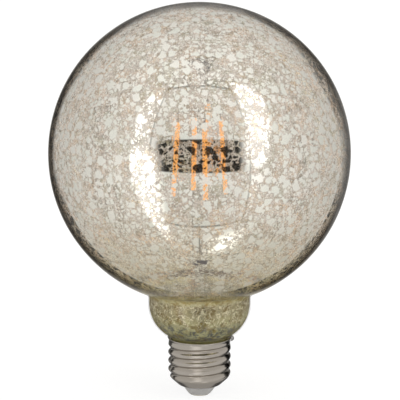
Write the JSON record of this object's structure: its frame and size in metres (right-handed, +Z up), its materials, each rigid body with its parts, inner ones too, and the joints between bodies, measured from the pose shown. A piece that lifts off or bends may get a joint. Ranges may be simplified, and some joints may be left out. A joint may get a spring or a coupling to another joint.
{
  "type": "led globe bulb",
  "caption": "Filament globe lamp: a mottled mirrored glass globe on a short neck with a screw cap, an inner stem, coated filament sticks and a driver in the cap.",
  "frame": {"origin": "centre of the base contact's lower face, on the lamp's axis", "axes": "+Z up the lamp's axis from the contact to the top of the globe; +X towards the solder bead at the cap's rim"},
  "size_m": [0.125, 0.125, 0.1655],
  "materials": {
    "mirrored_glass": "aged silver mirror in flakes on the inner face, clear gloss outside",
    "clear_glass": "clear gloss",
    "lead_metal": "bright nickel wire",
    "phosphor": "satin silicone with orange phosphor",
    "nickel_cap": "satin nickel plate",
    "base_plug": "pale grey satin",
    "contact_metal": "bright nickel",
    "solder": "bright solder",
    "cement": "matte",
    "circuit_board": "satin green board",
    "capacitor_sleeve": "shrunk sleeve",
    "black_moulding": "matte moulding",
    "ferrite": "matte ferrite",
    "resistor_coat": "baked coat",
    "ceramic_body": "fired ceramic",
    "wire_cover": "smooth insulation",
    "copper_wire": "bare copper"
  },
  "bodies": {
    "root": {"envelope": "mirrored_glass", "stem": "clear_glass", "exhaust_tube": "clear_glass", "anchor_rod": "clear_glass", "top_wires": "lead_metal", "filament_1": "phosphor", "filament_2": "phosphor", "filament_3": "phosphor", "filament_4": "phosphor", "filament_tabs": "lead_metal", "lead_wire_right": "lead_metal", "lead_wire_left": "lead_metal", "cap_shell": "nickel_cap", "cap_insulator": "base_plug", "centre_contact": "contact_metal", "side_solder": "solder", "basing_cement": "cement", "driver_board": "circuit_board", "smoothing_capacitor": "capacitor_sleeve", "bridge_rectifier": "black_moulding", "driver_chip": "black_moulding", "choke": "ferrite", "fuse_resistor": "resistor_coat", "sense_resistors": "black_moulding", "ceramic_capacitor": "ceramic_body", "live_wire": "wire_cover", "neutral_wire": "copper_wire"}
  },
  "joints": []
}
